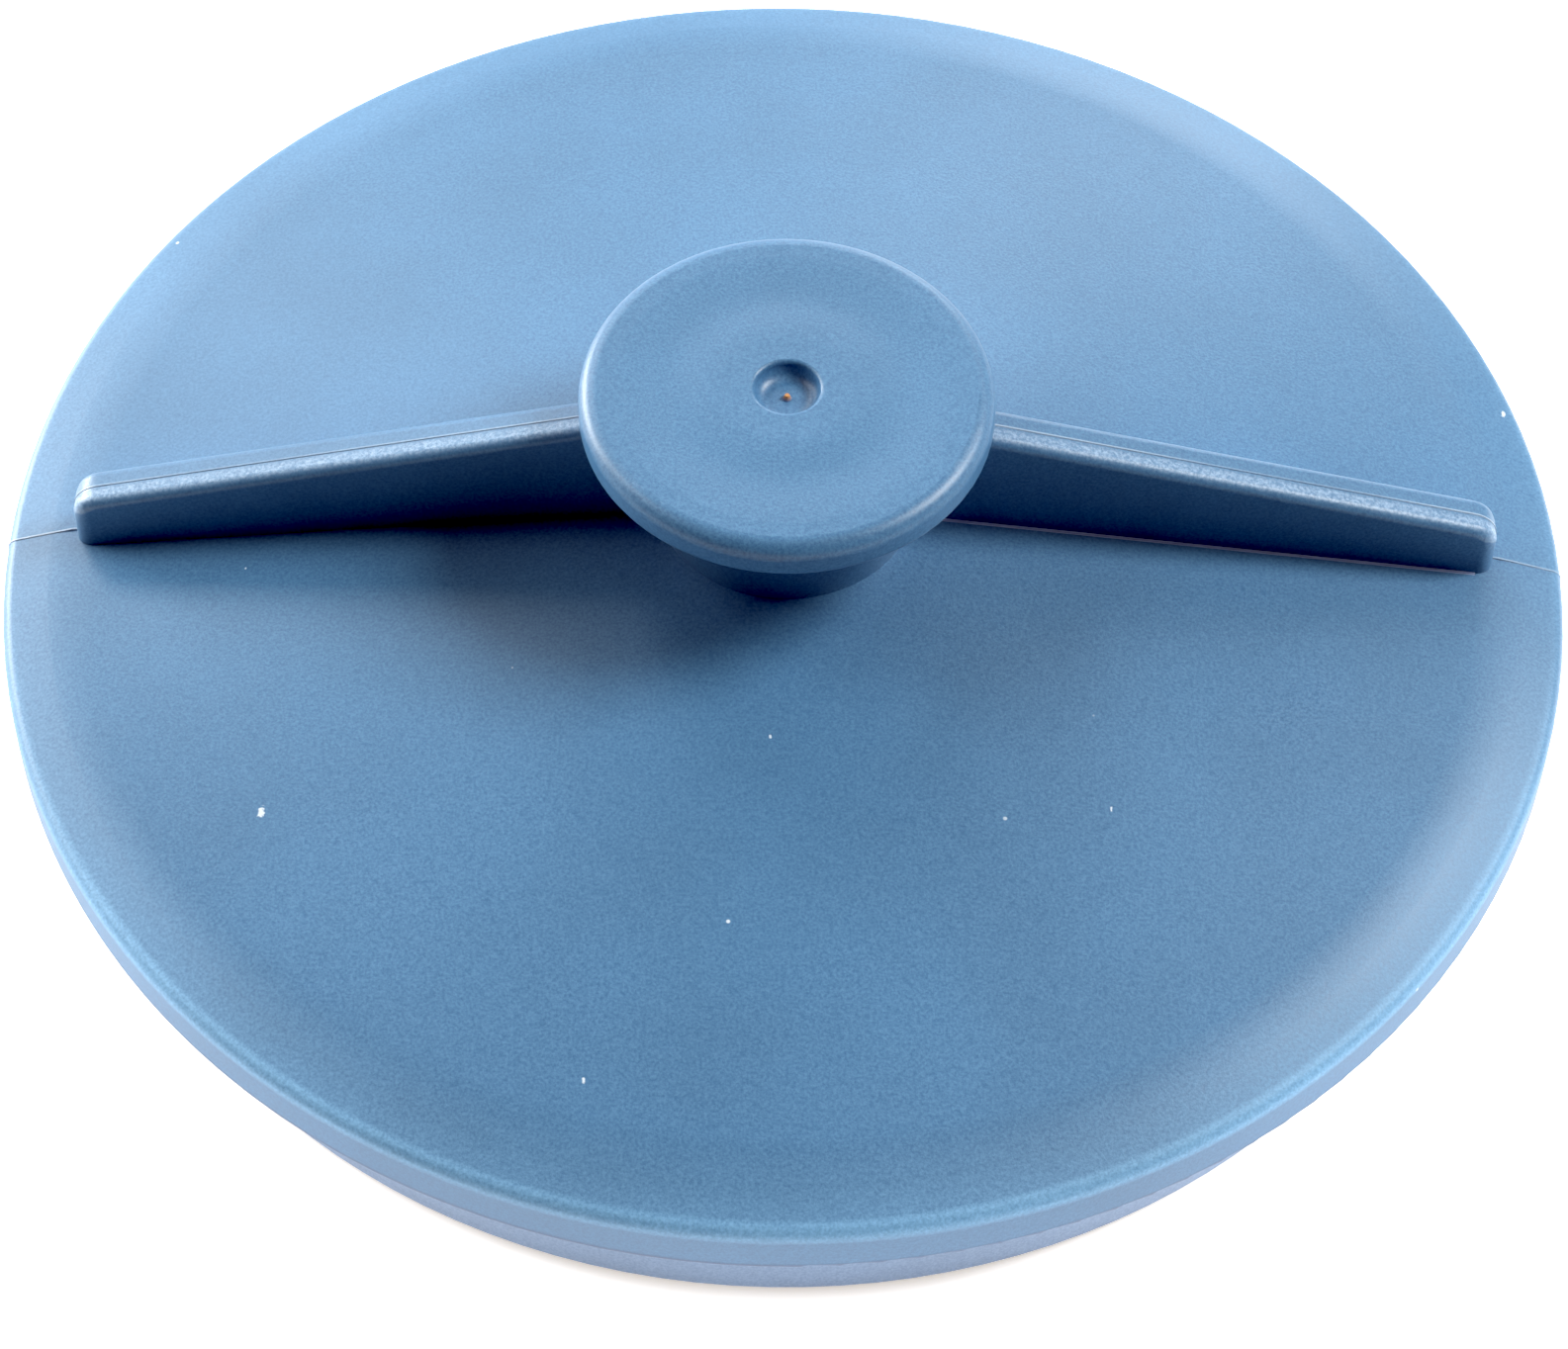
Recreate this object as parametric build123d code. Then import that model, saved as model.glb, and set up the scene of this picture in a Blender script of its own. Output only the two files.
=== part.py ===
from build123d import *
import math
import os

os.makedirs("parts", exist_ok=True)

# Round felt board eraser with a pull knob.  Millimetres, +Z up, the origin on the wiping
# face at the eraser's axis, the two grip ribs along X.  Two assemblies come apart along Z:
# the felt pad in its carrier ring, and the handle with everything fixed under it.

# --- driving dimensions -------------------------------------------------------------------
BAND_D = 79.5            # carrier ring, the smaller band under the rim
RIM_D = 86.0             # handle cover over its rim
TOTAL_H = 26.2           # wiping face to the top of the knob
RIM_TOP_Z = 12.1         # level of the rim's shoulder
RIM_H = 3.7              # shoulder to the lower edge of the rim
FOOT_Z = 0.5             # the ring stops this far above the wiping face

# cover: a shallow cone on a downturned rim
COVER_R = RIM_D / 2
CONE_EDGE_Z = RIM_TOP_Z + 0.36
CONE_RISE = 5.54         # from the rim to the (virtual) point of the cone
FLANGE_R = 39.3          # the cone bends down over the band, towards the rim
FLANGE_EDGE_Z = RIM_TOP_Z - 0.4
FLANGE_EASE = 12.0       # radius of that bend
WALL = 2.2               # measured straight down
RIM_ROUND = 0.8
RIM_FOOT_ROUND = 0.55
RIM_BOTTOM_Z = RIM_TOP_Z - RIM_H
LIP_IN_R = COVER_R - 2.0

# knob on its stem, one moulding with the cover
KNOB_R = 11.05
KNOB_T = 2.2
KNOB_ROUND = 0.95
KNOB_FOOT_ROUND = 0.5
STEM_R = 7.1
CORE_R = 4.6             # the stem is cored out from below to keep its wall even
DIMPLE_R = 1.75          # sunk gate mark in the middle of the knob
DIMPLE_DEPTH = 0.95
SINK_R = 6.4             # faint sunk ring in the knob's top, over the stem's wall
SINK_HALF_WIDTH = 2.8
SINK_DEPTH = 0.11
KNOB_UNDER_Z = TOTAL_H - KNOB_T

# the two ribs that run from the stem out to the rim
RIB_T = 2.5
RIB_END_R = 38.9
RIB_END_H = 3.4          # above the cone at the rib's outer end
RIB_MEETS_KNOB_R = 8.9   # where the rib's straight top edge runs into the knob
RIB_CORNER = 1.8         # outer end, seen from the side
RIB_END_ROUND = 0.95     # outer end, seen from above
RIB_ROUND = 0.55         # along the top

# witness ridge where the mould's two side slides meet, in the plane of the ribs
RIDGE_W = 0.10
RIDGE_H = 0.03
FLASH_H = 0.06           # flash left along the foot of one rib

# carrier ring
RING_R = BAND_D / 2
RING_IN_R = RING_R - 1.4
RING_TOP_Z = 10.2
SHELF_IN_R = 36.4
SHELF_Z = 5.0
SHELF_T = 1.5

# cover skirt, which drops inside the carrier ring and centres it
SKIRT_R = RING_IN_R - 0.6
SKIRT_IN_R = SKIRT_R - 1.8
SKIRT_BOTTOM_Z = 8.95

# flat stack between the felt and the cover, from the bottom up
BACKING_Z = SHELF_Z + SHELF_T
BACKING_T = 1.5
LOOP_T = 0.75
HOOK_LOOP_GAP = 0.1
HOOK_T = 0.75
PLATE_T = 1.5
LOOP_Z = BACKING_Z + BACKING_T
HOOK_Z = LOOP_Z + LOOP_T + HOOK_LOOP_GAP
PLATE_Z = HOOK_Z + HOOK_T
PLATE_TOP_Z = PLATE_Z + PLATE_T
TAPE_R = 35.2            # hook and loop discs

# plate fixing: self-tapping countersunk screws, 2.1 x 5
SCREW_COUNT = 4
SCREW_PCD_R = 16.0
SCREW_R = 1.05
SCREW_LEN = 5.0
SCREW_HEAD_R = 2.0
SCREW_HEAD_H = 1.0
BOSS_R = 2.6
UNDER_RIB_T = 1.4
UNDER_RIB_COUNT = 8

# felt
FELT_BASE_R = 36.2
FELT_R = 36.0            # circle that the strips are trimmed to
STRIP_COUNT = 12
STRIP_T = 5.0
STRIP_GAP = 1.0
THREAD_W = 0.5
THREAD_H = 0.35
THREAD_INSET = 2.0


def cone_z(r):
    """Height of the cover's upper surface at radius r."""
    return CONE_EDGE_Z + CONE_RISE * (1 - r / COVER_R)


def under_z(r):
    """Height of the cover's underside at radius r."""
    return cone_z(r) - WALL


def disc(radius, z, height):
    """Upright cylinder standing on z."""
    return Pos(0, 0, z) * Cylinder(radius, height, align=(Align.CENTER, Align.CENTER, Align.MIN))


def turned(points):
    """Solid of revolution about Z from (radius, height) points."""
    outline = Plane.XZ * make_face(Polyline(*points, close=True))
    return revolve(outline, Axis.Z)


def circle_edges(solid, radius, z, tolerance=0.02):
    """Circular edges about Z of one radius at one height."""
    found = []
    for edge in solid.edges().filter_by(GeomType.CIRCLE):
        centre = edge.arc_center
        on_axis = math.hypot(centre.X, centre.Y) < tolerance
        if on_axis and abs(centre.Z - z) < tolerance and abs(edge.radius - radius) < tolerance:
            found.append(edge)
    return found


def cover_shell():
    """Cone bending down into its flange, with a rim and a centring skirt below."""
    flange_z = cone_z(FLANGE_R)
    outline = make_face(Polyline(
        (0, cone_z(0)), (FLANGE_R, flange_z), (COVER_R, FLANGE_EDGE_Z), (COVER_R, RIM_BOTTOM_Z),
        (LIP_IN_R, RIM_BOTTOM_Z), (LIP_IN_R, under_z(LIP_IN_R)), (SKIRT_R, under_z(SKIRT_R)),
        (SKIRT_R, SKIRT_BOTTOM_Z), (SKIRT_IN_R, SKIRT_BOTTOM_Z), (SKIRT_IN_R, under_z(SKIRT_IN_R)),
        (0, under_z(0)), close=True))
    for corner, radius in (
            ((FLANGE_R, flange_z), FLANGE_EASE), ((COVER_R, FLANGE_EDGE_Z), RIM_ROUND),
            ((COVER_R, RIM_BOTTOM_Z), RIM_FOOT_ROUND), ((LIP_IN_R, RIM_BOTTOM_Z), 0.4),
            ((SKIRT_R, SKIRT_BOTTOM_Z), 0.35), ((SKIRT_IN_R, SKIRT_BOTTOM_Z), 0.35)):
        outline = fillet(outline.vertices().sort_by_distance((*corner, 0))[0], radius)
    return revolve(Plane.XZ * outline, Axis.Z)


def knob_and_stem():
    """Mushroom knob with its sunk gate mark."""
    flat_r = SINK_R + SINK_HALF_WIDTH
    top = Spline((SINK_R - SINK_HALF_WIDTH, TOTAL_H), (SINK_R, TOTAL_H - SINK_DEPTH),
                 (flat_r, TOTAL_H), tangents=[(1, 0), (1, 0)])
    rest = Polyline((flat_r, TOTAL_H), (KNOB_R, TOTAL_H), (KNOB_R, KNOB_UNDER_Z),
                    (0, KNOB_UNDER_Z), (0, TOTAL_H), (SINK_R - SINK_HALF_WIDTH, TOTAL_H))
    head = revolve(Plane.XZ * make_face([*top.edges(), *rest.edges()]), Axis.Z)
    head = fillet(circle_edges(head, KNOB_R, TOTAL_H), KNOB_ROUND)
    head = fillet(circle_edges(head, KNOB_R, KNOB_UNDER_Z), KNOB_FOOT_ROUND)
    dimple = disc(DIMPLE_R, TOTAL_H - DIMPLE_DEPTH, DIMPLE_DEPTH + 1)
    dimple = fillet(circle_edges(dimple, DIMPLE_R, TOTAL_H - DIMPLE_DEPTH), 0.75)
    head -= dimple
    head = fillet(circle_edges(head, DIMPLE_R, TOTAL_H), 0.22)
    gate_stub = Pos(0, 0, TOTAL_H - DIMPLE_DEPTH - 0.1) * Cone(
        0.3, 0.12, 0.4, align=(Align.CENTER, Align.CENTER, Align.MIN))
    stem_z = cone_z(STEM_R) - 1.0
    return head + gate_stub + disc(STEM_R, stem_z, KNOB_UNDER_Z - stem_z + 0.5)


def grip_rib():
    """Rib along +X: a straight top edge that falls from the knob to near the rim."""
    sunk = 1.0
    inner = STEM_R - 1.5
    end_top = cone_z(RIB_END_R) + RIB_END_H
    side = make_face(Polyline(
        (inner, cone_z(inner) - sunk), (RIB_END_R, cone_z(RIB_END_R) - sunk),
        (RIB_END_R, end_top), (RIB_MEETS_KNOB_R, KNOB_UNDER_Z),
        (RIB_MEETS_KNOB_R, KNOB_UNDER_Z + 0.5), (inner, KNOB_UNDER_Z + 0.5), close=True))
    side = fillet(side.vertices().sort_by_distance((RIB_END_R, end_top))[0], RIB_CORNER)
    half_t = RIB_T / 2
    plan = make_face(Polyline(
        (inner, -half_t), (RIB_END_R, -half_t), (RIB_END_R, half_t), (inner, half_t), close=True))
    plan = fillet(plan.vertices().group_by(Axis.X)[-1], RIB_END_ROUND)
    ridge = extrude(Plane.XZ * offset(side, RIDGE_H), RIDGE_W / 2, both=True)
    rib = extrude(Plane.XZ * side, RIB_T, both=True) & extrude(plan, TOTAL_H)
    top = [
        edge for edge in rib.edges()
        if edge.center().Z > cone_z(RIB_END_R) + 1.2
        and edge.center().X > RIB_MEETS_KNOB_R + 0.5
        and edge.center().Z > cone_z(edge.center().X) + 0.5
        and abs((edge @ 0).Z - (edge @ 1).Z) < 0.95 * (edge.length + 1e-9)]
    return fillet(top, RIB_ROUND) + ridge


def rim_ridge():
    """Witness ridge on +X, from the rib's end over the rim and down its wall."""
    inner = RIB_END_R - 1.0
    outline = make_face(Polyline(
        (inner, cone_z(inner) - 1.0), (inner, cone_z(inner) + RIDGE_H),
        (FLANGE_R, cone_z(FLANGE_R) + RIDGE_H), (COVER_R + RIDGE_H, FLANGE_EDGE_Z + RIDGE_H),
        (COVER_R + RIDGE_H, RIM_BOTTOM_Z + RIM_FOOT_ROUND),
        (COVER_R - 1.0, RIM_BOTTOM_Z + RIM_FOOT_ROUND), (COVER_R - 1.0, cone_z(COVER_R) - 1.0),
        close=True))
    corner = outline.vertices().sort_by_distance((COVER_R, FLANGE_EDGE_Z))[0]
    outline = fillet(corner, RIM_ROUND + RIDGE_H)
    return extrude(Plane.XZ * outline, RIDGE_W / 2, both=True)


def rib_foot_flash():
    """Thin flash along the front foot of the rib on +X, where a mould insert ends."""
    inner, outer = STEM_R - 0.5, RIB_END_R - RIB_END_ROUND
    side = make_face(Polyline(
        (inner, cone_z(inner) - 0.3), (outer, cone_z(outer) - 0.3),
        (outer, cone_z(outer) + FLASH_H), (inner, cone_z(inner) + FLASH_H), close=True))
    return Pos(0, -RIB_T / 2, 0) * extrude(Plane.XZ * side, FLASH_H, both=True)


def under_rib(angle):
    """Stiffening rib under the cone, from the core's wall to the skirt."""
    inner, outer = CORE_R + 1.0, SKIRT_IN_R + 0.4
    sunk = 0.5
    side = Plane.XZ * make_face(Polyline(
        (inner, PLATE_TOP_Z), (SKIRT_IN_R - 0.1, PLATE_TOP_Z), (outer, under_z(outer) + sunk),
        (inner, under_z(inner) + sunk), close=True))
    return Rot(0, 0, angle) * extrude(side, UNDER_RIB_T / 2, both=True)


def screw_places():
    """Centres of the plate's screws."""
    for i in range(SCREW_COUNT):
        turn = math.radians(45 + 360 * i / SCREW_COUNT)
        yield SCREW_PCD_R * math.cos(turn), SCREW_PCD_R * math.sin(turn)


def handle_cover():
    """Cover, knob, stem, ribs, skirt and bosses: one moulding."""
    cover = cover_shell() + knob_and_stem()
    for turn in (0, 180):
        cover += Rot(0, 0, turn) * (grip_rib() + rim_ridge())
    cover += rib_foot_flash()
    for i in range(UNDER_RIB_COUNT):
        cover += under_rib(360 * i / UNDER_RIB_COUNT)
    core_wall_r = CORE_R + 2.0
    cover += disc(core_wall_r, PLATE_TOP_Z, under_z(core_wall_r) + 0.5 - PLATE_TOP_Z)
    core = disc(CORE_R, PLATE_TOP_Z - 1, KNOB_UNDER_Z - 0.4 - PLATE_TOP_Z + 1)
    cover -= fillet(circle_edges(core, CORE_R, KNOB_UNDER_Z - 0.4), 1.2)
    for x, y in screw_places():
        boss_h = under_z(SCREW_PCD_R) + 0.6 - PLATE_TOP_Z
        cover += Pos(x, y, 0) * disc(BOSS_R, PLATE_TOP_Z, boss_h)
    for x, y in screw_places():
        pilot_h = SCREW_LEN - PLATE_T + 0.3
        cover -= Pos(x, y, 0) * disc(SCREW_R + 0.02, PLATE_TOP_Z - 1, pilot_h + 1)
    return cover


def countersunk(radius, head_radius, head_height, z, length):
    """Countersunk screw's outline: flat head at z, shank upward."""
    return turned([(0, z), (head_radius, z), (head_radius, z + 0.15),
                   (radius, z + head_height), (radius, z + length - 0.6),
                   (0.3, z + length), (0, z + length)])


def mounting_plate():
    """Flat disc that the hook tape is stuck to."""
    plate = disc(SKIRT_IN_R - 0.2, PLATE_Z, PLATE_T)
    plate = fillet(circle_edges(plate, SKIRT_IN_R - 0.2, PLATE_Z), 0.25)
    for x, y in screw_places():
        hole = countersunk(SCREW_R + 0.1, SCREW_HEAD_R + 0.1, SCREW_HEAD_H + 0.05,
                           PLATE_Z - 0.01, SCREW_LEN)
        plate -= Pos(x, y, 0) * hole
    return plate


def plate_screws():
    """The screws with their cross recesses, as one group."""
    screws = []
    for x, y in screw_places():
        screw = countersunk(SCREW_R, SCREW_HEAD_R, SCREW_HEAD_H, PLATE_Z + 0.05, SCREW_LEN)
        for turn in (0, 90):
            slot = Rot(0, 0, turn) * Box(2.2, 0.5, 1.1)
            screw -= Pos(0, 0, PLATE_Z + 0.05) * slot
        screws.append(Pos(x, y, 0) * screw)
    return Compound(screws)


def carrier_ring():
    """Band with an inner shelf for the backing disc and a bead that holds it down."""
    bead_z = BACKING_Z + BACKING_T + 0.05
    ring = turned([
        (RING_R, FOOT_Z), (RING_R, RING_TOP_Z), (RING_IN_R, RING_TOP_Z),
        (RING_IN_R, bead_z + 0.6), (RING_IN_R - 0.3, bead_z + 0.3), (RING_IN_R, bead_z),
        (RING_IN_R, BACKING_Z), (SHELF_IN_R, BACKING_Z), (SHELF_IN_R, SHELF_Z),
        (RING_IN_R, SHELF_Z), (RING_IN_R, FOOT_Z),
    ])
    ring = fillet(circle_edges(ring, RING_R, FOOT_Z), 0.45)
    ring = fillet(circle_edges(ring, RING_IN_R, FOOT_Z), 0.4)
    return fillet(circle_edges(ring, RING_R, RING_TOP_Z) + circle_edges(ring, RING_IN_R, RING_TOP_Z),
                  0.3)


def backing_disc():
    """Stiff board that carries the felt."""
    radius = RING_IN_R - 0.1
    board = disc(radius, BACKING_Z, BACKING_T)
    return chamfer(circle_edges(board, radius, BACKING_Z + BACKING_T), 0.2)


def strip_centres():
    """Middle of each felt strip across the pad."""
    pitch = STRIP_T + STRIP_GAP
    return [(i - (STRIP_COUNT - 1) / 2) * pitch for i in range(STRIP_COUNT)]


def felt_strip(y):
    """One felt strip on edge, trimmed to the pad's circle."""
    blank = Pos(0, y, SHELF_Z / 2) * Box(2 * FELT_R, STRIP_T, SHELF_Z)
    strip = blank & disc(FELT_R, 0, SHELF_Z)
    return strip.solids()[0]


def stitching():
    """One run of thread along the bottom of each groove between the strips."""
    centres = strip_centres()
    runs = []
    for before, after in zip(centres, centres[1:]):
        y = (before + after) / 2
        length = 2 * (math.sqrt(FELT_R ** 2 - y ** 2) - THREAD_INSET)
        runs.append(Pos(0, y, SHELF_Z - THREAD_H / 2) * Box(length, THREAD_W, THREAD_H))
    return Compound(runs)


PARTS = {
    "handle_cover": handle_cover(),
    "mounting_plate": mounting_plate(),
    "plate_screws": plate_screws(),
    "hook_disc": disc(TAPE_R, HOOK_Z, HOOK_T),
    "loop_disc": disc(TAPE_R, LOOP_Z, LOOP_T),
    "backing_disc": backing_disc(),
    "carrier_ring": carrier_ring(),
    "felt_base": disc(FELT_BASE_R, SHELF_Z, SHELF_T),
    "stitching": stitching(),
}
for number, centre in enumerate(strip_centres(), start=1):
    PARTS[f"felt_strip_{number:02d}"] = felt_strip(centre)

for name, shape in PARTS.items():
    export_step(shape, f"parts/{name}.step")
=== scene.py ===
import math
import random
import bpy
from mathutils import Matrix, Vector, noise


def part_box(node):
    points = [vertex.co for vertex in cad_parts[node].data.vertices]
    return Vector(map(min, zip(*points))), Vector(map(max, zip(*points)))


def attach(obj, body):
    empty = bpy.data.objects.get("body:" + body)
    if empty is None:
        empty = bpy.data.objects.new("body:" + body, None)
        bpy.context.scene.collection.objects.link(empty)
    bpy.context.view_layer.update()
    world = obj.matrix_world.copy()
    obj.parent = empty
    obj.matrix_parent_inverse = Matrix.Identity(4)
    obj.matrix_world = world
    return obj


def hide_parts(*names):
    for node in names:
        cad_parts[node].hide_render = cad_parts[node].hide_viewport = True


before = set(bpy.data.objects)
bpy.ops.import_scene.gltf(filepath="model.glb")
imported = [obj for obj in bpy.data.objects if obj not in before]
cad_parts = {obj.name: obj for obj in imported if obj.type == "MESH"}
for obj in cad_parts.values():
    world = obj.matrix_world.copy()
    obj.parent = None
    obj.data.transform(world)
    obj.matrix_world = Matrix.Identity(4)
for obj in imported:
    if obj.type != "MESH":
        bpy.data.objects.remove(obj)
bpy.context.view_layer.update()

MM = 0.001

# --- places taken from the frame ------------------------------------------------------------
COVER_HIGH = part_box("handle_cover")[1]
RIM_R = COVER_HIGH[1]
RIM_TOP_Z = 12.1 * MM
TOP_Z = COVER_HIGH[2]
CONE_EDGE_Z = 12.46 * MM       # cover's cone, at the rim and at its point
CONE_TIP_Z = 18.0 * MM
STEM_R = 7.1 * MM
RIB_END_R = 38.9 * MM
RIB_HALF_T = 1.25 * MM
KNOB_UNDER_Z = 24.0 * MM
SEAM_Z = RIM_TOP_Z - 3.7 * MM          # lower edge of the cover's rim
STRIP_NAMES = sorted(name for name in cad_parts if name.startswith("felt_strip"))

# --- camera -----------------------------------------------------------------------------------
CAMERA_ELEVATION = math.radians(53.17)
CAMERA_AZIMUTH = math.radians(0.22)
CAMERA_ROLL = math.radians(1.0)
CAMERA_LENS = 102.66           # mm on a 36 mm wide sensor
CAMERA_DISTANCE = 5.746        # rim radii, along the view, to the middle of the rim's shoulder
CAMERA_SHIFT_UP = 0.1563       # rim radii by which that point lies above the view's centre
CAMERA_SHIFT_RIGHT = 0.0006

# --- studio -----------------------------------------------------------------------------------
LIGHT_DISTANCE = 0.8           # every softbox, from the object
SOFTBOXES = (                  # name, azimuth (0 right, 90 back), elevation, size, watts
    ("left_low", 160, 18, 0.30, 2.6),
    ("left_rim", 142, 9, 0.35, 7.0),
    ("back_left_low", 110, 18, 0.30, 0.55),
    ("back_right_low", 75, 18, 0.30, 1.8),
    ("back_left", 120, 38, 0.25, 1.6),
    ("back", 90, 38, 0.25, 0.65),
    ("back_right", 60, 38, 0.25, 0.27),
    ("left_high", 170, 45, 0.30, 1.6),
    ("right_high", 10, 45, 0.30, 7.3),
    ("overhead", 90, 89.9, 0.50, 0.12),
)
FLOOR_GLOW = 1.74              # the paper glows around the object, a painted pool of light that also lights it from below
GLOW_INNER_R = 0.078
GLOW_OUTER_R = 0.10
FAR_GLOW = 0.75                # keeps the paper pale out to the horizon
FAR_GLOW_R = (0.30, 0.65)
FOOT_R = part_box("carrier_ring")[1][0]
FOOT_GLOW = 0.30               # share of the glow left in the contact shadow
FLOOR_HALF = 10.0              # metres, far enough for a low view to see no edge close by
WORLD_STRENGTH = 0.008
BLACK_LEVEL = (0.012, 0.025, 0.027)    # the view's contrast: what it shows as black

# --- colours (linear) -------------------------------------------------------------------------
PLASTIC_BLUE = (0.070, 0.186, 0.328)
RIM_GLOW_TINT = (1.6, 1.42, 1.34)    # painted glow through the thin rim, against the cover's blue
# painted highlight on the rim's rounded edge
EDGE_HIGHLIGHT_TINT = (1.65, 1.5, 1.4)
# darkens the rim's wall again, taking back the painted glow
WALL_TINT = (0.58, 0.66, 0.72)
# painted shade in the seam between the rim and the ring
SEAM_SHADE_TINT = (0.42, 0.40, 0.50)
RIB_GLINT_BLUE = (0.52, 0.66, 0.82)      # painted glints on the coarser grain of the rib tops
# painted highlight along the flash at the rib's foot
FLASH_GLINT_BLUE = (0.50, 0.58, 0.80)
DUST_AND_GLINT_PALE = (0.62, 0.70, 0.78)         # dust and nicks, and mould lines painted paler as a highlight
GATE_BROWN = (0.55, 0.25, 0.09)
RING_BLUE = (0.165, 0.255, 0.395)
NICKS = ((-27.1, -19.3, 0.20), (-9.5, -35.1, 0.10), (-0.5, -15.4, 0.08), (17.4, -18.7, 0.09),
         (40.6, 11.2, 0.14), (-29.3, -3.5, 0.06))     # places on the cover and sizes, millimetres
FELT_GREY = (0.50, 0.47, 0.42)
FELT_DARK = (0.20, 0.19, 0.17)


def add_camera():
    """Camera at the reference viewing angle, aimed a little in front of the knob."""
    turn = Matrix.Rotation(CAMERA_AZIMUTH, 3, "Z")
    forward = turn @ Vector((0, math.cos(CAMERA_ELEVATION), -math.sin(CAMERA_ELEVATION)))
    right = turn @ Vector((1, 0, 0))
    up = right.cross(forward)
    rolled_right = math.cos(CAMERA_ROLL) * right + math.sin(CAMERA_ROLL) * up
    rolled_up = math.cos(CAMERA_ROLL) * up - math.sin(CAMERA_ROLL) * right
    target = Vector((0, 0, RIM_TOP_Z))
    offset = (CAMERA_SHIFT_RIGHT * rolled_right + CAMERA_SHIFT_UP * rolled_up
              + CAMERA_DISTANCE * forward) * RIM_R
    data = bpy.data.cameras.new("camera")
    data.lens = CAMERA_LENS
    data.sensor_width = 36.0
    data.sensor_fit = "HORIZONTAL"
    data.clip_start = 0.01
    camera = bpy.data.objects.new("camera", data)
    bpy.context.scene.collection.objects.link(camera)
    matrix = Matrix((rolled_right, rolled_up, -forward)).transposed().to_4x4()
    matrix.translation = target - offset
    camera.matrix_world = matrix
    bpy.context.scene.camera = camera


# --- materials --------------------------------------------------------------------------------
class Nodes:
    """Short hand for building a material's node tree."""

    def __init__(self, name):
        self.material = bpy.data.materials.new(name)
        self.material.use_nodes = True
        self.tree = self.material.node_tree
        self.tree.nodes.clear()
        self.output = self.tree.nodes.new("ShaderNodeOutputMaterial")
        self.shader = self.tree.nodes.new("ShaderNodeBsdfPrincipled")
        self.tree.links.new(self.shader.outputs[0], self.output.inputs["Surface"])

    def add(self, kind, inputs=None, **settings):
        node = self.tree.nodes.new(kind)
        for key, value in settings.items():
            setattr(node, key, value)
        for key, value in (inputs or {}).items():
            self.set(node.inputs[key], value)
        return node

    def set(self, socket, value):
        if isinstance(value, bpy.types.NodeSocket):
            self.tree.links.new(value, socket)
        else:
            socket.default_value = value

    def look(self, **sockets):
        """Set the shader's own sockets, named with _ for a space."""
        for key, value in sockets.items():
            self.set(self.shader.inputs[key.replace("_", " ")], value)

    def place(self):
        return self.add("ShaderNodeTexCoord").outputs["Object"]

    def stretched(self, place, scale, turn=(0, 0, 0)):
        return self.add("ShaderNodeMapping", {"Vector": place, "Scale": scale, "Rotation": turn}
                        ).outputs["Vector"]

    def noise(self, vector, scale, detail=2.0, roughness=0.5, distortion=0.0):
        node = self.add("ShaderNodeTexNoise", {
            "Vector": vector, "Scale": scale, "Detail": detail, "Roughness": roughness,
            "Distortion": distortion})
        return node.outputs["Fac"]

    def maths(self, operation, a, b=0.0, clamp=False):
        node = self.add("ShaderNodeMath", operation=operation, use_clamp=clamp)
        self.set(node.inputs[0], a)
        self.set(node.inputs[1], b)
        return node.outputs["Value"]

    def remap(self, value, low, high, to_low=0.0, to_high=1.0):
        node = self.add("ShaderNodeMapRange", {
            "Value": value, "From Min": low, "From Max": high, "To Min": to_low, "To Max": to_high})
        return node.outputs["Result"]

    def band(self, value, low, high, edge=0.02 * MM):
        """1 between low and high, 0 outside."""
        return self.maths("MULTIPLY", self.remap(value, low - edge, low + edge),
                          self.remap(value, high - edge, high + edge, 1.0, 0.0))

    def mix_colour(self, factor, a, b, mode="MIX"):
        node = self.add("ShaderNodeMix", data_type="RGBA", blend_type=mode)
        self.set(node.inputs[0], factor)
        self.set(node.inputs[6], a)
        self.set(node.inputs[7], b)
        return node.outputs[2]

    def length(self, vector):
        return self.add("ShaderNodeVectorMath", {0: vector}, operation="LENGTH").outputs["Value"]

    def flat(self, x, y):
        return self.add("ShaderNodeCombineXYZ", {"X": x, "Y": y}).outputs[0]

    def bump(self, height, distance, strength=1.0, normal=None):
        inputs = {"Height": height, "Distance": distance, "Strength": strength}
        if normal is not None:
            inputs["Normal"] = normal
        return self.add("ShaderNodeBump", inputs).outputs["Normal"]


def rgba(colour, gain=1.0):
    return tuple(gain * c for c in colour) + (1.0,)


def plastic_ground(nodes, place, blue):
    """Fine spark-eroded grain: colour, roughness, the grain itself and slow streaks."""
    grain = nodes.noise(place, 6200.0, 3.0, 0.65)
    cloud = nodes.noise(place, 85.0, 3.0)
    streak = nodes.noise(place, 21.0, 2.0, 0.5, 0.6)
    tone = nodes.mix_colour(nodes.remap(cloud, 0.35, 0.65), rgba(blue, 0.95), rgba(blue, 1.05))
    speckle = nodes.mix_colour(nodes.remap(grain, 0.32, 0.68),
                               (0.72, 0.79, 0.84, 1), (1.28, 1.21, 1.16, 1))
    colour = nodes.mix_colour(1.0, tone, speckle, "MULTIPLY")
    rough = nodes.maths("ADD", nodes.remap(grain, 0.3, 0.7, 0.37, 0.47),
                        nodes.remap(streak, 0.3, 0.7, -0.03, 0.03))
    return colour, rough, grain, streak


def dust_specks(nodes, place):
    """Mask of a few small specks of dust."""
    cells = nodes.add("ShaderNodeTexVoronoi", {"Vector": place, "Scale": 420.0, "Randomness": 1.0})
    spots = nodes.remap(cells.outputs["Distance"], 0.035, 0.055, 1.0, 0.0)
    chosen = nodes.add("ShaderNodeSeparateColor", {"Color": cells.outputs["Color"]})
    rare = nodes.remap(chosen.outputs["Red"], 0.955, 0.965)
    return nodes.maths("MULTIPLY", spots, rare, clamp=True)


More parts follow.
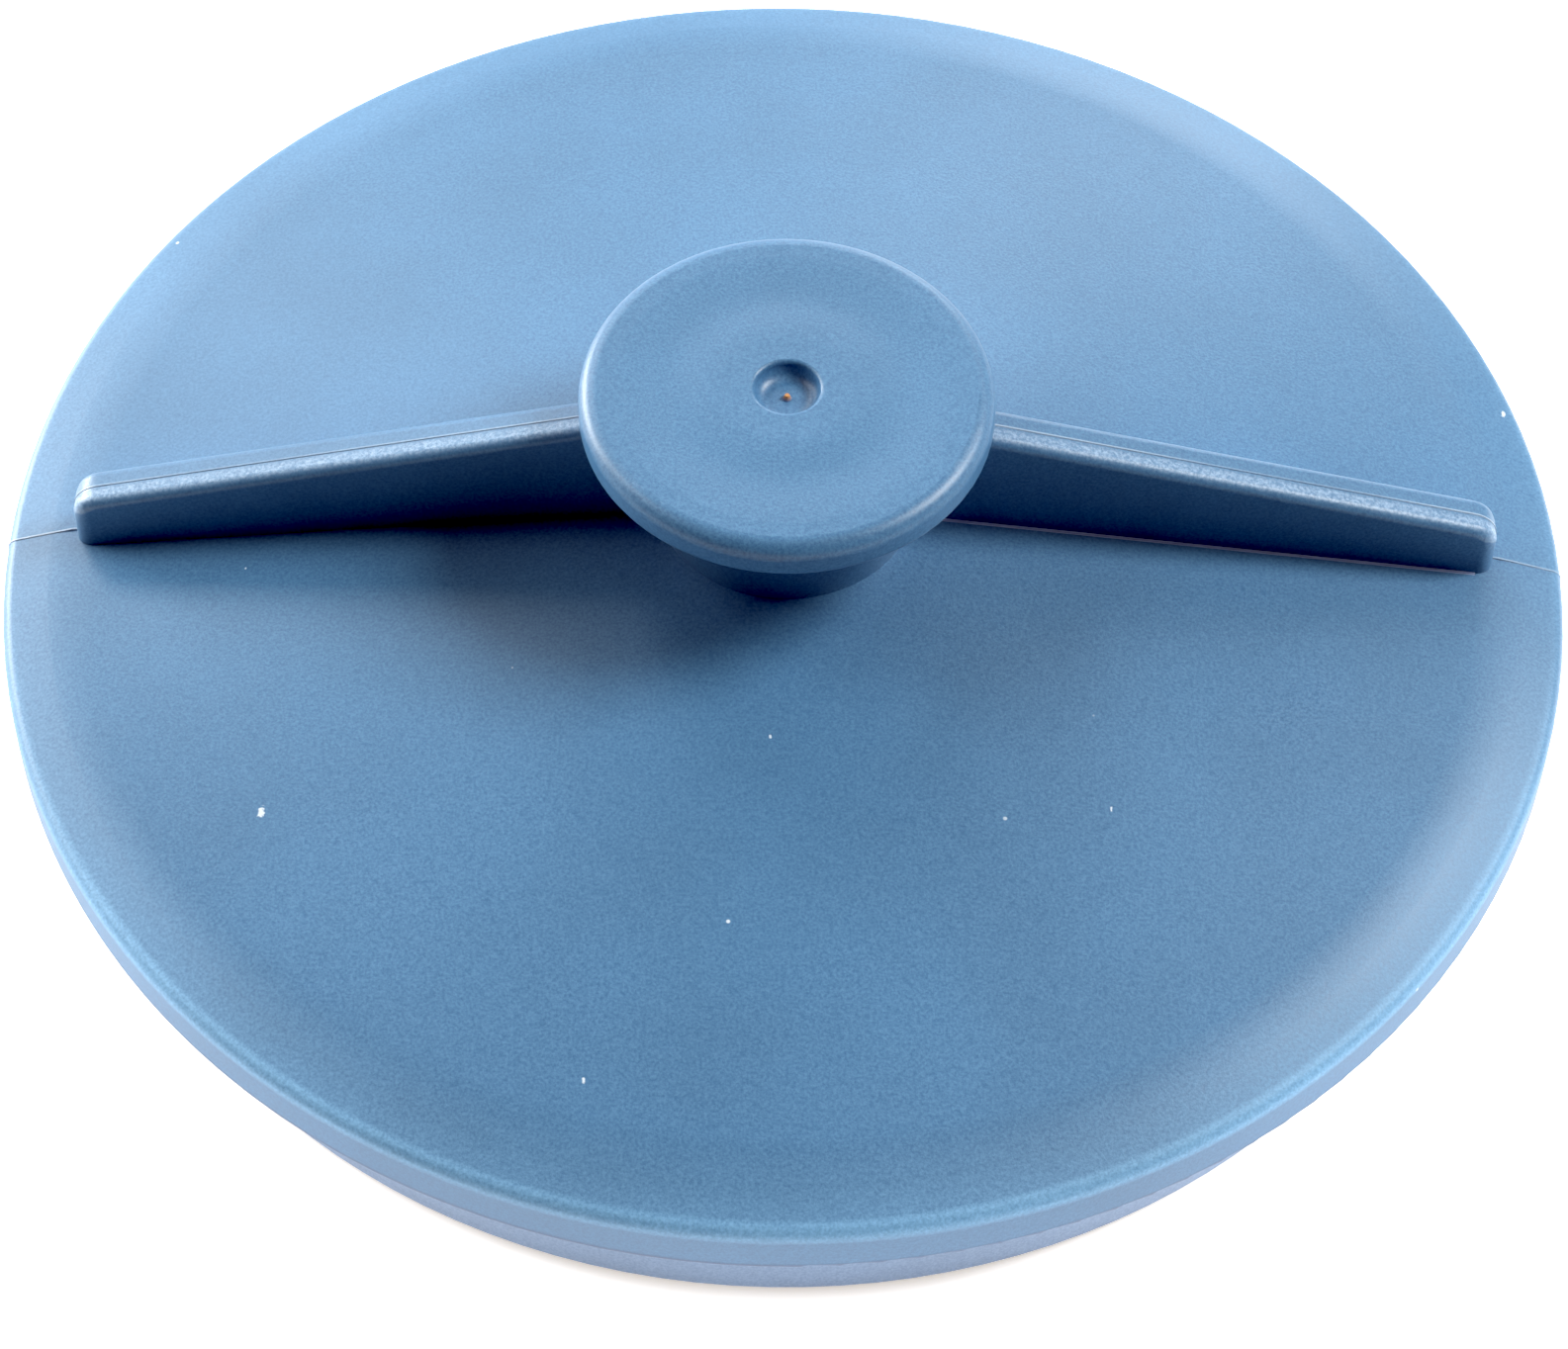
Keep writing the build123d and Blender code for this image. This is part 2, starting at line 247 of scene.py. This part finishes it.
def plain_plastic(name, blue=PLASTIC_BLUE):
    """Moulded blue plastic with a faint grain, for the ring and the plate."""
    nodes = Nodes(name)
    place = nodes.place()
    colour, rough, grain, _ = plastic_ground(nodes, place, blue)
    nodes.look(Base_Color=nodes.mix_colour(dust_specks(nodes, place), colour, rgba(DUST_AND_GLINT_PALE)),
               Roughness=rough, Specular_IOR_Level=0.6, Normal=nodes.bump(grain, 0.004 * MM))
    return nodes.material


class CoverNodes(Nodes):
    """Material nodes for the cover, with the places on it that the masks are made from."""

    def __init__(self, name):
        super().__init__(name)
        self.at = self.place()
        self.x, self.y, self.z = self.add("ShaderNodeSeparateXYZ", {"Vector": self.at}).outputs
        self.reach = self.length(self.flat(self.x, self.y))
        self.along = self.maths("ABSOLUTE", self.x)
        self.over_cone = self.maths("SUBTRACT", self.z, self.remap(
            self.along, 0.0, RIM_R, CONE_TIP_Z, CONE_EDGE_Z))
        self.under_knob = self.remap(self.z, KNOB_UNDER_Z - 0.1 * MM, KNOB_UNDER_Z, 1.0, 0.0)
        self.coarse = self.noise(self.at, 5200.0, 3.0, 0.7)

    def both(self, a, b):
        return self.maths("MULTIPLY", a, b)

    def rim_masks(self):
        """Masks of the painted glow on the rim, the painted highlight on its edge, its wall and the
        painted shade in the seam with the ring.
        """
        wall_top, edge_foot = RIM_TOP_Z - 1.15 * MM, RIM_TOP_Z - 0.75 * MM
        # the painted glow and highlight are strongest at the front
        stronger_to_front = self.remap(self.y, -24 * MM, -4 * MM, 1.0, 0.25)
        rim_glow = self.both(stronger_to_front, self.remap(self.reach, RIM_R - 4.2 * MM, RIM_R - 0.6 * MM))
        edge = self.both(
            self.both(stronger_to_front, self.remap(self.reach, RIM_R - 0.85 * MM, RIM_R - 0.45 * MM)),
            self.remap(self.z, wall_top, edge_foot))
        wall = self.both(self.remap(self.reach, RIM_R - 0.5 * MM, RIM_R - 0.3 * MM),
                         self.remap(self.z, wall_top, edge_foot, 1.0, 0.0))
        # painted shade in the seam with the ring
        seam_shade = self.both(self.remap(self.z, SEAM_Z + 0.45 * MM, SEAM_Z + 0.70 * MM, 1.0, 0.0),
                          self.remap(self.reach, RIM_R - 1.2 * MM, RIM_R - 1.0 * MM))
        return rim_glow, edge, wall, seam_shade

    def rib_front(self):
        """Front half of the rib tops, where the spark marks are coarser; the painted glints go here
        too.
        """
        beyond_stem = self.band(self.along, STEM_R, RIB_END_R)
        top = self.both(self.both(beyond_stem, self.under_knob),
                        self.remap(self.over_cone, 2.0 * MM, 2.6 * MM))
        return self.both(top, self.band(self.y, -0.98 * MM, -0.20 * MM, 0.16 * MM))

    def mould_lines(self, streak):
        """Line where the mould's slides met, from the stem to the rim on both sides, painted paler as
        a highlight on its ridge.
        """
        away = self.maths("ABSOLUTE", self.y)
        line = self.both(self.remap(away, 0.05 * MM, 0.10 * MM, 1.0, 0.0),
                         self.remap(streak, 0.40, 0.60, 0.25, 0.9))
        return self.both(self.both(line, self.under_knob),
                         self.band(self.along, STEM_R, 2 * RIM_R))

    def flash_glint(self):
        """Thin flash along the front foot of the rib on +X, painted paler as a highlight."""
        return self.both(
            self.band(self.x, STEM_R, RIB_END_R - 1.0 * MM),
            self.both(self.band(self.y, -RIB_HALF_T - 0.12 * MM, -RIB_HALF_T + 0.02 * MM),
                      self.band(self.over_cone, -0.1 * MM, 0.09 * MM)))

    def nick(self, x, y, size):
        """Small ragged nick; places and size are in millimetres."""
        offset = self.flat(self.maths("SUBTRACT", self.x, x * MM),
                           self.maths("MULTIPLY", self.maths("SUBTRACT", self.y, y * MM), 0.6))
        ragged = self.maths("ADD", self.length(offset), self.remap(
            self.coarse, 0.3, 0.7, -size * MM * 0.5, size * MM * 0.5))
        return self.remap(ragged, size * MM * 0.6, size * MM, 1.0, 0.0)

    def gate_stub(self):
        """Torn stub at the bottom of the knob's dimple."""
        return self.both(self.remap(self.reach, 0.14 * MM, 0.26 * MM, 1.0, 0.0),
                         self.remap(self.z, TOP_Z - 1.5 * MM, TOP_Z - 1.4 * MM))


def cover_plastic():
    """Grained blue plastic with a painted glow on the rim, grained rib tops with painted glints, mould
    lines and a flash painted paler as highlights, nicks and a gate mark.
    """
    nodes = CoverNodes("cover_plastic_blue")
    colour, rough, grain, streak = plastic_ground(nodes, nodes.at, PLASTIC_BLUE)
    masks = nodes.rim_masks()
    rough = nodes.maths("ADD", rough, nodes.maths("MULTIPLY", masks[0], 0.12))
    # painted glow on the rim, painted highlight on its edge, the wall darkened again, painted shade in
    # the seam
    for mask, tint in zip(masks, (RIM_GLOW_TINT, EDGE_HIGHLIGHT_TINT, WALL_TINT, SEAM_SHADE_TINT)):
        colour = nodes.mix_colour(mask, colour, rgba(tint), "MULTIPLY")
    front = nodes.rib_front()
    height = nodes.maths("ADD", grain, nodes.both(nodes.coarse, front))
    # painted highlight: glints on the rib tops' coarse grain
    sparkle = nodes.both(front, nodes.remap(nodes.coarse, 0.40, 0.64, 0.18, 1.0))
    colour = nodes.mix_colour(nodes.maths("MULTIPLY", sparkle, 0.45), colour, rgba(RIB_GLINT_BLUE))
    # painted highlight along the flash
    colour = nodes.mix_colour(nodes.maths("MULTIPLY", nodes.flash_glint(), 0.8), colour, rgba(FLASH_GLINT_BLUE))
    # dust and nicks, and the mould lines' painted highlight
    marks = nodes.maths("MAXIMUM", dust_specks(nodes, nodes.at),
                        nodes.maths("MULTIPLY", nodes.mould_lines(streak), 0.55))
    for nick in NICKS:
        marks = nodes.maths("MAXIMUM", marks, nodes.nick(*nick))
    colour = nodes.mix_colour(marks, colour, rgba(DUST_AND_GLINT_PALE))
    colour = nodes.mix_colour(nodes.gate_stub(), colour, rgba(GATE_BROWN))
    sink_marks = nodes.bump(nodes.noise(nodes.at, 62.0, 1.0, 0.4), 0.045 * MM)
    nodes.look(Base_Color=colour, Roughness=rough, Specular_IOR_Level=0.6,
               Normal=nodes.bump(height, 0.012 * MM, normal=sink_marks))
    return nodes.material


def felt_material(name, colour, dark):
    """Pressed wool: a heather of crossing fibres over a cloudy ground."""
    nodes = Nodes(name)
    place = nodes.place()
    ground = nodes.noise(place, 260.0, 3.0, 0.6)
    layers = []
    for turn, scale in (((0, 0, 0.5), (900, 5200, 5200)), ((0, 0.6, 2.1), (5200, 900, 5200)),
                        ((0.8, 0, 1.2), (5600, 1000, 5600))):
        crossed = nodes.noise(nodes.stretched(place, scale, turn), 1.0, 2.0, 0.6, 1.4)
        layers.append(nodes.remap(crossed, 0.38, 0.62))
    fibres = nodes.maths("MAXIMUM", nodes.maths("MULTIPLY", layers[0], layers[1]), layers[2])
    base = nodes.mix_colour(nodes.remap(ground, 0.3, 0.7), rgba(colour, 0.82), rgba(colour, 1.06))
    nodes.look(
        Base_Color=nodes.mix_colour(nodes.remap(fibres, 0.2, 0.9), rgba(dark), base),
        Roughness=0.95, Sheen_Weight=0.35, Sheen_Roughness=0.5,
        Normal=nodes.bump(fibres, 0.10 * MM, 0.8))
    return nodes.material


def cloth_material(name, colour, sheen=0.2):
    """Knitted nylon seen close: fuzzy yarns that wander both ways, with no clear weave."""
    nodes = Nodes(name)
    place = nodes.place()
    across = nodes.noise(nodes.stretched(place, (3600, 900, 2400), (0, 0, 0.12)), 1.0, 2.0, 0.6, 0.8)
    along = nodes.noise(nodes.stretched(place, (900, 3600, 2400), (0, 0, 0.12)), 1.0, 2.0, 0.6, 0.8)
    weave = nodes.maths("MAXIMUM", nodes.remap(across, 0.42, 0.66), nodes.remap(along, 0.42, 0.66))
    fuzz = nodes.noise(place, 3750.0, 3.0, 0.65)
    tone = nodes.mix_colour(nodes.remap(fuzz, 0.3, 0.7), rgba(colour, 0.65), rgba(colour, 1.25))
    nodes.look(
        Base_Color=nodes.mix_colour(nodes.remap(weave, 0.0, 0.6), rgba(colour, 0.5), tone),
        Roughness=nodes.remap(fuzz, 0.3, 0.7, 0.6, 0.8), Sheen_Weight=sheen,
        Normal=nodes.bump(nodes.maths("ADD", weave, fuzz), 0.05 * MM))
    return nodes.material


def fibreboard_material():
    """Hardboard: pressed brown wood fibre with darker flecks."""
    nodes = Nodes("fibreboard_brown")
    place = nodes.place()
    shreds = nodes.noise(nodes.stretched(place, (700, 2600, 2600), (0, 0, 0.7)), 1.0, 4.0, 0.7, 1.8)
    crossed = nodes.noise(nodes.stretched(place, (2600, 700, 2600), (0, 0, 0.3)), 1.0, 4.0, 0.7, 1.8)
    cloud = nodes.noise(place, 120.0, 3.0)
    mix = nodes.maths("ADD", shreds, crossed)
    brown = nodes.mix_colour(nodes.remap(mix, 0.75, 1.25), (0.13, 0.075, 0.038, 1),
                             (0.34, 0.22, 0.125, 1))
    nodes.look(
        Base_Color=nodes.mix_colour(nodes.remap(cloud, 0.35, 0.65, 0.0, 0.35), brown,
                                    (0.20, 0.125, 0.07, 1)),
        Roughness=nodes.remap(shreds, 0.3, 0.7, 0.6, 0.8),
        Normal=nodes.bump(mix, 0.05 * MM))
    return nodes.material


def zinc_material():
    """Bright zinc plating with turning marks and a slight mottle."""
    nodes = Nodes("zinc_plated_steel")
    place = nodes.place()
    mottle = nodes.noise(place, 1500.0, 4.0, 0.6)
    lines = nodes.noise(nodes.stretched(place, (400, 400, 9000)), 1.0, 2.0)
    nodes.look(
        Base_Color=nodes.mix_colour(nodes.remap(mottle, 0.3, 0.7), (0.52, 0.54, 0.56, 1),
                                    (0.72, 0.73, 0.74, 1)),
        Metallic=1.0, Roughness=nodes.remap(mottle, 0.3, 0.7, 0.24, 0.42),
        Normal=nodes.bump(nodes.maths("ADD", lines, mottle), 0.008 * MM))
    return nodes.material


def thread_material():
    """Spun polyester thread, off white, with its twist in the mesh and fibres here."""
    nodes = Nodes("thread_off_white")
    place = nodes.place()
    strand = nodes.noise(nodes.stretched(place, (2500, 12000, 12000)), 1.0, 3.0, 0.6)
    nodes.look(
        Base_Color=nodes.mix_colour(nodes.remap(strand, 0.3, 0.7), (0.50, 0.48, 0.42, 1),
                                    (0.80, 0.78, 0.70, 1)),
        Roughness=0.75, Sheen_Weight=0.2,
        Normal=nodes.bump(strand, 0.02 * MM))
    return nodes.material


def assign(node, material):
    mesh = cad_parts[node].data
    mesh.materials.clear()
    mesh.materials.append(material)


# --- mesh helpers -----------------------------------------------------------------------------
class MeshParts:
    """Collects vertices and faces of many small shapes into one mesh."""

    def __init__(self):
        self.points = []
        self.faces = []

    def rings(self, rings):
        """Closed skin over rings of equal length, capped at both ends."""
        start = len(self.points)
        count = len(rings[0])
        for ring in rings:
            self.points.extend(ring)
        for i in range(len(rings) - 1):
            a = start + i * count
            b = a + count
            for j in range(count):
                k = (j + 1) % count
                self.faces.append((a + j, a + k, b + k, b + j))
        last = start + (len(rings) - 1) * count
        self.faces.append(tuple(reversed(range(start, start + count))))
        self.faces.append(tuple(range(last, last + count)))

    def tube(self, line, radius, sides=5, up=Vector((0, 0, 1))):
        """Round bar along a line of points."""
        rings = []
        for i, point in enumerate(line):
            before, after = line[max(0, i - 1)], line[min(len(line) - 1, i + 1)]
            along = (after - before).normalized()
            side = along.cross(up)
            if side.length < 1e-3:
                side = along.cross(Vector((1, 0, 0)))
            side.normalize()
            top = along.cross(side)
            rings.append([point + radius * (math.cos(a) * side + math.sin(a) * top)
                          for a in (2 * math.pi * k / sides for k in range(sides))])
        self.rings(rings)

    def make(self, name, material):
        mesh = bpy.data.meshes.new(name)
        mesh.from_pydata([tuple(p) for p in self.points], [], self.faces)
        mesh.update()
        mesh.shade_smooth()
        mesh.materials.append(material)
        piece = bpy.data.objects.new(name, mesh)
        bpy.context.scene.collection.objects.link(piece)
        return piece


def stands_for(piece, node, body):
    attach(piece, body)
    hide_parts(node)
    return piece


# --- felt -------------------------------------------------------------------------------------
FELT_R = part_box("felt_strip_06")[1][0]
FELT_SKIN = 0.16 * MM          # room for the felt's unevenness inside its solid
FIBRE_R = 0.016 * MM
FIBRES_PER_MM = 5
END_SHRINK = {1: 0.93, 2: 0.6, 3: 0.2}     # size of the rings that close a strip's end
END_INSET = {2: -0.10 * MM, 3: -0.12 * MM}


def felt_wander(point, size=0.09 * MM):
    """How far the felt's surface stands off at a point."""
    coarse = noise.noise(point / (1.9 * MM))
    fine = noise.noise(point / (0.55 * MM) + Vector((7, 3, 1)))
    return size * (coarse + 0.6 * fine)


def rounded_outline(half_w, low, high, low_round, high_round, step):
    """Rounded rectangle in y and z, as (y, z, outward y, outward z)."""
    corners = ((half_w, low, low_round, -90), (half_w, high, high_round, 0),
               (-half_w, high, high_round, 90), (-half_w, low, low_round, 180))
    turns = 5
    arcs = []
    for y, z, r, start in corners:
        cy = y - math.copysign(r, y)
        cz = z + r if z == low else z - r
        angles = [math.radians(start + 90 * k / (turns - 1)) for k in range(turns)]
        arcs.append([(cy + r * math.cos(a), cz + r * math.sin(a), math.cos(a), math.sin(a))
                     for a in angles])
    points = []
    for i, arc in enumerate(arcs):
        points.extend(arc)
        y0, z0, ny, nz = arc[-1]
        y1, z1 = arcs[(i + 1) % 4][0][:2]
        pieces = max(2, round(math.hypot(y1 - y0, z1 - z0) / step))
        for k in range(1, pieces):
            t = k / pieces
            points.append((y0 + t * (y1 - y0), z0 + t * (z1 - z0), ny, nz))
    return points


def fibre(parts, root, along, out, length, rng):
    """One loose wool fibre that lies along the surface and lifts a little."""
    side = along.cross(out)
    bend = rng.uniform(-0.6, 0.6)
    line = []
    for k in range(4):
        t = k / 3
        line.append(root + length * (t * along + bend * t * t * side)
                    + out * (0.05 * MM + 0.10 * MM * math.sin(math.pi * t)))
    for point in line:
        point.z = max(point.z, FIBRE_R * 1.5)
    parts.tube(line, FIBRE_R * rng.uniform(0.7, 1.3), sides=3, up=out)


def add_felt_strip(name, material, rng):
    """Strip of pressed felt on edge: uneven faces, worn lower corners, loose fibres."""
    low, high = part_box(name)
    y_mid = (low[1] + high[1]) / 2
    half_w = (high[1] - low[1]) / 2 - FELT_SKIN
    outline = rounded_outline(half_w, low[2] + FELT_SKIN, high[2] - 0.02 * MM,
                              0.85 * MM, 0.2 * MM, 0.55 * MM)
    radius = FELT_R - FELT_SKIN
    longest = math.sqrt(radius ** 2 - (abs(y_mid) - half_w) ** 2)
    steps = max(24, round(2 * longest / (0.6 * MM)))
    middle_z = (low[2] + high[2]) / 2
    parts = MeshParts()
    rings = []
    for i in range(-3, steps + 4):
        u = min(max(-1 + 2 * i / steps, -1), 1)
        past_end = max(-i, i - steps)
        shrink = END_SHRINK.get(past_end, 1.0)
        inset = END_INSET.get(past_end, 0.0)
        edge_in = 0.30 * MM * max(0.0, abs(u) - 0.985) / 0.015
        ring = []
        for y, z, ny, nz in outline:
            if past_end > 0:
                y = y * shrink
                z = middle_z + (z - middle_z) * shrink
            else:
                y = y - ny * edge_in
                z = z - nz * edge_in
            reach = math.sqrt(max(radius ** 2 - (y_mid + y) ** 2, 0)) + inset
            point = Vector((u * reach, y_mid + y, z))
            stand = felt_wander(point)
            point += Vector((math.copysign(stand, u) if abs(u) > 0.999 else 0, ny * stand, nz * stand))
            point.z = max(point.z, 0.02 * MM)
            ring.append(point)
        rings.append(ring)
    parts.rings(rings)
    for _ in range(round(2 * longest / MM * FIBRES_PER_MM)):
        x = rng.uniform(-0.97, 0.97)
        y, z, ny, nz = outline[rng.randrange(len(outline))]
        if z > high[2] - 0.8 * MM:
            continue
        reach = math.sqrt(max(radius ** 2 - (y_mid + y) ** 2, 0)) - 0.8 * MM
        root = Vector((x * reach, y_mid + y, z))
        turn = rng.gauss(0, 0.7)
        out = Vector((0, ny, nz))
        across = out.cross(Vector((1, 0, 0)))
        along = (math.cos(turn) * Vector((1, 0, 0)) + math.sin(turn) * across).normalized()
        if rng.random() < 0.5:
            along = -along
        fibre(parts, root, along, out, rng.uniform(0.5, 1.5) * MM, rng)
    piece = stands_for(parts.make(name + "_wool", material), name, "pad")


def add_felt_base(material):
    """Felt disc behind the strips, its face slightly uneven."""
    low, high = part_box("felt_base")
    radius = high[0] - FELT_SKIN
    parts = MeshParts()
    around = 180
    inset = 0.12 * MM

    def ring(r, z, wave):
        loop = []
        for k in range(around):
            a = 2 * math.pi * k / around
            point = Vector((r * math.cos(a), r * math.sin(a), z))
            stand = felt_wander(point, 0.07 * MM) if wave else 0.0
            loop.append(point + (Vector((0, 0, stand)) if wave == 1
                                 else Vector((math.cos(a), math.sin(a), 0)) * stand))
        return loop

    rings = [ring(radius * k / 36, low[2] + inset, 1) for k in range(1, 36)]
    rings += [ring(radius - 0.15 * MM, low[2] + inset, 2), ring(radius, low[2] + 0.35 * MM, 2),
              ring(radius + 0.02 * MM, (low[2] + high[2]) / 2, 2),
              ring(radius, high[2] - 0.3 * MM, 2), ring(radius - 0.2 * MM, high[2] - 0.01 * MM, 0)]
    parts.rings(rings)
    piece = stands_for(parts.make("felt_base_wool", material), "felt_base", "pad")


# --- sewing -----------------------------------------------------------------------------------
STITCH_PITCH = 3.1 * MM
PLY_R = 0.09975 * MM
SEAM_INSET = 0.25 * MM         # outer seams, from the side of the stitching's box


def add_stitching(material):
    """Two-ply thread in each groove: stitches that dip into the felt between needle holes."""
    low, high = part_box("stitching")
    grooves = len(STRIP_NAMES) - 1
    first = low[1] + SEAM_INSET
    groove_pitch = (high[1] - low[1] - 2 * SEAM_INSET) / (grooves - 1)
    parts = MeshParts()
    for i in range(grooves):
        y = first + i * groove_pitch
        half = math.sqrt(FELT_R ** 2 - y ** 2) - 2.2 * MM
        count = int(2 * half / STITCH_PITCH)
        for k in range(count):
            x0 = -half + (2 * half - count * STITCH_PITCH) / 2 + k * STITCH_PITCH
            for ply in (0, math.pi):
                line = []
                for j in range(11):
                    t = j / 10
                    x = x0 + (0.06 + 0.88 * t) * STITCH_PITCH
                    dip = (2 * t - 1) ** 6 * 0.30 * MM
                    twist = ply + t * 2.5 * 2 * math.pi
                    line.append(Vector((
                        x, y + 0.09 * MM * math.cos(twist) + 0.06 * MM * (t - 0.5),
                        low[2] + 0.20 * MM + dip + 0.09 * MM * math.sin(twist))))
                parts.tube(line, PLY_R, sides=5)
    stands_for(parts.make("seam_thread", material), "stitching", "pad")


# --- hook and loop ----------------------------------------------------------------------------
def disc_places(radius, pitch_x, pitch_y, rng, jitter=0.0):
    """Places on a grid inside a circle, each moved at random by up to jitter pitches."""
    rows = int(radius / pitch_y)
    columns = int(radius / pitch_x)
    for row in range(-rows, rows + 1):
        for column in range(-columns, columns + 1):
            x = (column + (0.5 if row % 2 else 0.0) + rng.uniform(-jitter, jitter)) * pitch_x
            y = (row + rng.uniform(-jitter, jitter)) * pitch_y
            if math.hypot(x, y) < radius:
                yield x, y


def cloth_disc(parts, radius, low_z, high_z, uneven, face_up):
    """Thin disc of cloth, uneven on the side that shows."""
    around = 160

    def ring(r, z, wave):
        loop = []
        for k in range(around):
            a = 2 * math.pi * k / around
            point = Vector((r * math.cos(a), r * math.sin(a), 0))
            point.z = z + wave * uneven * noise.noise(point / (1.4 * MM))
            loop.append(point)
        return loop

    shown, hidden = (high_z, low_z) if face_up else (low_z, high_z)
    rings = [ring(radius * k / 30, shown, 1) for k in range(1, 30)]
    rings += [ring(radius - 0.08 * MM, shown, 0), ring(radius, (shown + hidden) / 2, 0),
              ring(radius - 0.05 * MM, hidden, 0)]
    if face_up:
        rings = [list(reversed(r)) for r in rings]
    parts.rings(rings)


def add_loop_disc(material, rng):
    """Loop side of the fastener: knitted ground with a napped pile of fine loops."""
    low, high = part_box("loop_disc")
    radius = high[0]
    ground_z = low[2] + 0.30 * MM
    parts = MeshParts()
    cloth_disc(parts, radius - 0.03 * MM, low[2] + 0.01 * MM, ground_z, 0.05 * MM, True)
    for x, y in disc_places(radius - 0.45 * MM, 0.76 * MM, 0.74 * MM, rng, 0.45):
        turn = rng.uniform(0, math.pi)
        width = rng.uniform(0.20, 0.38) * MM
        height = rng.uniform(0.22, 0.40) * MM
        lean = rng.uniform(-0.28, 0.28) * MM
        along = Vector((math.cos(turn), math.sin(turn), 0))
        side = Vector((-along.y, along.x, 0))
        line = []
        for k in range(5):
            a = math.pi * (-0.12 + 1.24 * k / 4)
            line.append(Vector((x, y, ground_z - 0.02 * MM)) - along * width * math.cos(a)
                        + side * lean * max(0.0, math.sin(a))
                        + Vector((0, 0, height * max(-0.1, math.sin(a)))))
        parts.tube(line, 0.028 * MM, sides=3)
    piece = stands_for(parts.make("loop_pile", material), "loop_disc", "pad")


def add_hook_disc(material, rng):
    """Hook side of the fastener: woven ground and rows of cut nylon hooks, facing down."""
    low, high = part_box("hook_disc")
    radius = high[0]
    ground_z = high[2] - 0.28 * MM
    tall = ground_z - low[2] - 0.04 * MM
    parts = MeshParts()
    cloth_disc(parts, radius - 0.03 * MM, ground_z, high[2] - 0.01 * MM, 0.03 * MM, False)
    for x, y in disc_places(radius - 0.6 * MM, 1.30 * MM, 1.05 * MM, rng, 0.08):
        facing = 1 if rng.random() < 0.5 else -1
        line = []
        for k in range(4):
            line.append(Vector((x, y, ground_z + 0.04 * MM - k / 3 * (tall - 0.16 * MM))))
        for k in range(1, 5):
            a = math.pi * 1.1 * k / 4
            line.append(Vector((x + facing * 0.16 * MM * (1 - math.cos(a)), y,
                                ground_z + 0.04 * MM - (tall - 0.16 * MM) - 0.14 * MM * math.sin(a))))
        parts.tube(line, 0.075 * MM, sides=4, up=Vector((0, 1, 0)))
    stands_for(parts.make("hook_tape", material), "hook_disc", "handle")


# --- stage ------------------------------------------------------------------------------------
def add_floor():
    """White paper that glows softly around the object: a painted pool of light, with a painted warm
    contact shadow at the foot.
    """
    nodes = Nodes("paper_floor")
    place = nodes.place()
    away = nodes.length(place)
    fibres = nodes.noise(place, 900.0, 3.0, 0.6)
    # painted contact shadow: near the foot the glow drops and turns warm
    clear = nodes.remap(away, FOOT_R - 0.5 * MM, FOOT_R + 1.6 * MM)
    glow = nodes.maths("MULTIPLY", nodes.remap(clear, 0.0, 1.0, FOOT_GLOW, 1.0),
                       nodes.remap(away, GLOW_INNER_R, GLOW_OUTER_R, FLOOR_GLOW, 0.0))
    glow = nodes.maths("ADD", glow, nodes.remap(away, *FAR_GLOW_R, 0.0, FAR_GLOW))
    nodes.look(
        Base_Color=nodes.mix_colour(nodes.remap(fibres, 0.3, 0.7), (0.90, 0.90, 0.91, 1),
                                    (0.94, 0.94, 0.95, 1)),
        Roughness=0.85, Emission_Strength=glow,
        Emission_Color=nodes.mix_colour(clear, (1.0, 0.88, 0.74, 1), (1.0, 1.0, 1.0, 1)))
    mesh = bpy.data.meshes.new("floor")
    far = FLOOR_HALF
    mesh.from_pydata([(-far, -far, 0), (far, -far, 0), (far, far, 0), (-far, far, 0)],
                     [], [(0, 1, 2, 3)])
    mesh.materials.append(nodes.material)
    floor = bpy.data.objects.new("floor", mesh)
    bpy.context.scene.collection.objects.link(floor)


def add_softbox(name, azimuth, elevation, size, power):
    """Round softbox aimed at the object."""
    data = bpy.data.lights.new(name, "AREA")
    data.shape = "DISK"
    data.energy = power
    data.size = size
    light = bpy.data.objects.new(name, data)
    azimuth, elevation = math.radians(azimuth), math.radians(elevation)
    place = LIGHT_DISTANCE * Vector((
        math.cos(azimuth) * math.cos(elevation), math.sin(azimuth) * math.cos(elevation),
        math.sin(elevation)))
    light.location = place
    light.rotation_euler = (-place).to_track_quat("-Z", "Y").to_euler()
    bpy.context.scene.collection.objects.link(light)


def add_world():
    world = bpy.data.worlds.new("studio")
    bpy.context.scene.world = world
    world.use_nodes = True
    background = world.node_tree.nodes["Background"]
    background.inputs["Color"].default_value = (0.93, 0.95, 1.0, 1)
    background.inputs["Strength"].default_value = WORLD_STRENGTH


def set_view():
    """Plain display with the darkest tones taken down to black."""
    view = bpy.context.scene.view_settings
    view.view_transform = "Standard"
    view.use_curve_mapping = True
    view.curve_mapping.black_level = BLACK_LEVEL
    view.curve_mapping.update()


add_camera()
add_floor()
add_world()
for box in SOFTBOXES:
    add_softbox(*box)
set_view()

assign("handle_cover", cover_plastic())
assign("carrier_ring", plain_plastic("ring_plastic_blue", RING_BLUE))
assign("mounting_plate", plain_plastic("plate_plastic_blue"))
assign("backing_disc", fibreboard_material())
assign("plate_screws", zinc_material())

wool = felt_material("felt_grey", FELT_GREY, FELT_DARK)
for number, strip in enumerate(STRIP_NAMES):
    add_felt_strip(strip, wool, random.Random(100 + number))
add_felt_base(wool)
add_stitching(thread_material())
add_loop_disc(cloth_material("loop_nylon_black", (0.055, 0.058, 0.066)), random.Random(5))
add_hook_disc(cloth_material("hook_nylon_black", (0.030, 0.032, 0.038), sheen=0.05), random.Random(6))
